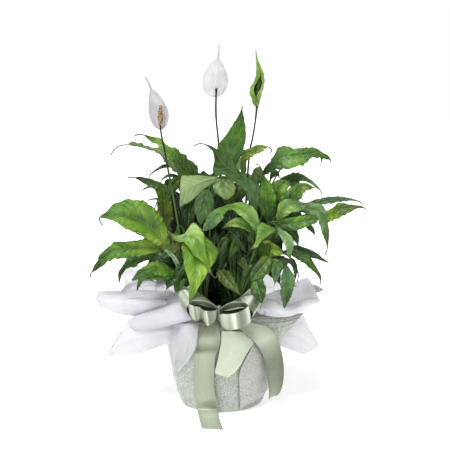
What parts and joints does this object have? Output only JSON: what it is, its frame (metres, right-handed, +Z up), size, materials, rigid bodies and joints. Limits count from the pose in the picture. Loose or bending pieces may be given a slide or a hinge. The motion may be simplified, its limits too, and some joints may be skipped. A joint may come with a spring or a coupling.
{
  "type": "potted peace lily",
  "caption": "Leafy peace lily with white hooded flowers in a nursery pot, wrapped in silver and sheer cloth and tied with a satin bow; stands on its flat base.",
  "frame": {"origin": "centre of the wrap's flat underside, on the pot's axis", "axes": "+Z up along the pot's axis; the front with the bow looks along -Y; +X is to the viewer's right"},
  "size_m": [0.4961, 0.3507, 0.6476],
  "materials": {
    "leaf": "waxy green leaf, half gloss",
    "peduncle": "smooth green flower stem",
    "spathe": "soft white petal-like hood",
    "spadix": "rough cream flower spike",
    "bud_spathe": "unopened green hood",
    "bud_spadix": "dark green flower spike",
    "soil": "dark crumbly potting soil",
    "pot": "plain dark nursery pot",
    "glitter_wrap": "silver sage non-woven cloth with fine glitter",
    "panel_wrap": "grey panel of the same cloth",
    "sheer_wrap": "sheer white organza",
    "lining": "pale sage tissue-like cloth",
    "satin": "sage satin ribbon, glossy"
  },
  "bodies": {
    "root": {"shoot_front_left": "leaf", "shoot_front_right": "leaf", "shoot_left": "leaf", "shoot_right": "leaf", "shoot_back_left": "leaf", "shoot_back_right": "leaf", "shoot_middle": "leaf", "flower_left_stem": "peduncle", "flower_left_spathe": "spathe", "flower_left_spadix": "spadix", "flower_centre_stem": "peduncle", "flower_centre_spathe": "spathe", "flower_centre_spadix": "spadix", "flower_right_stem": "peduncle", "flower_right_spathe": "bud_spathe", "flower_right_spadix": "bud_spadix", "pot": "pot", "soil": "soil", "wrap_outer": "glitter_wrap", "wrap_front_panel": "panel_wrap", "lining_flap": "lining", "sheer_drape_left": "sheer_wrap", "sheer_corner_left": "sheer_wrap", "sheer_corner_right": "sheer_wrap", "wrap_corner_right": "glitter_wrap", "sheer_collar": "sheer_wrap", "lining_collar": "lining", "ribbon_band": "satin", "ribbon_knot": "satin", "ribbon_loop_right_front": "satin", "ribbon_loop_right_back": "satin", "ribbon_loop_left_front": "satin", "ribbon_loop_left_back": "satin", "ribbon_tail_right": "satin", "ribbon_tail_left": "satin"}
  },
  "joints": []
}
